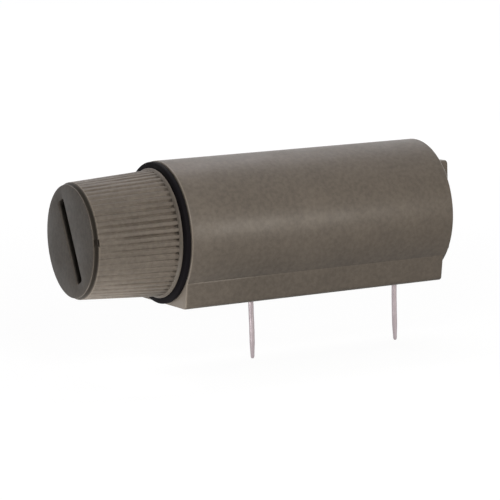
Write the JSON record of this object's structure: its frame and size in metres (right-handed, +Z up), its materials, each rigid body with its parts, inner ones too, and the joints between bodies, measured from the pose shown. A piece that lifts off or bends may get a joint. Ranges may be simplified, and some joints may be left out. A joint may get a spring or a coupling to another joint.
{
  "type": "circuit board fuse holder with bayonet cap",
  "caption": "Closed horizontal fuse holder for a circuit board: round tube on a flat foot, two wire pins, ribbed slotted bayonet cap, glass fuse inside.",
  "frame": {"origin": "on the board plane under the foot, midway between the two pins", "axes": "+X from the cap to the closed rear end along the pin row, +Z up from the board"},
  "size_m": [0.0369, 0.0128, 0.0188],
  "materials": {
    "housing_plastic": "matte grey-brown moulded plastic",
    "cap_plastic": "matte grey-brown moulded plastic",
    "seal_rubber": "black rubber",
    "plated_brass": "tin plated brass strip",
    "tinned_wire": "dull tinned copper wire",
    "plain_brass": "turned brass",
    "spring_steel": "drawn spring steel",
    "fuse_glass": "clear glass tube",
    "ferrule_metal": "nickel plated drawn cup",
    "solder": "dull solder"
  },
  "bodies": {
    "holder": {"housing": "housing_plastic", "rear_plug": "housing_plastic", "front_contact": "plated_brass", "rear_contact": "plated_brass", "front_pin": "tinned_wire", "rear_pin": "tinned_wire", "contact_spring": "spring_steel"},
    "fuse": {"fuse_glass": "fuse_glass", "fuse_front_ferrule": "ferrule_metal", "fuse_rear_ferrule": "ferrule_metal", "fuse_front_solder": "solder", "fuse_rear_solder": "solder", "fuse_wire": "tinned_wire"},
    "cap": {"cap": "cap_plastic", "seal_ring": "seal_rubber", "fuse_clip": "plated_brass"},
    "plunger": {"contact_plunger": "plain_brass"}
  },
  "joints": [
    {"name": "cap_pull", "type": "slide", "parent": "holder", "child": "fuse", "axis": [-1, 0, 0], "range_m": [0, 0.024]},
    {"name": "cap_turn", "type": "hinge", "parent": "fuse", "child": "cap", "pos_m": [-0.016, 0, 0.0064], "axis": [1, 0, 0], "range_deg": [0, 60]},
    {"name": "contact_press", "type": "slide", "parent": "holder", "child": "plunger", "axis": [1, 0, 0], "range_m": [0, 0.001], "stiffness_N_per_m": 600, "springref_m": -0.002, "deforming": ["contact_spring"]}
  ]
}
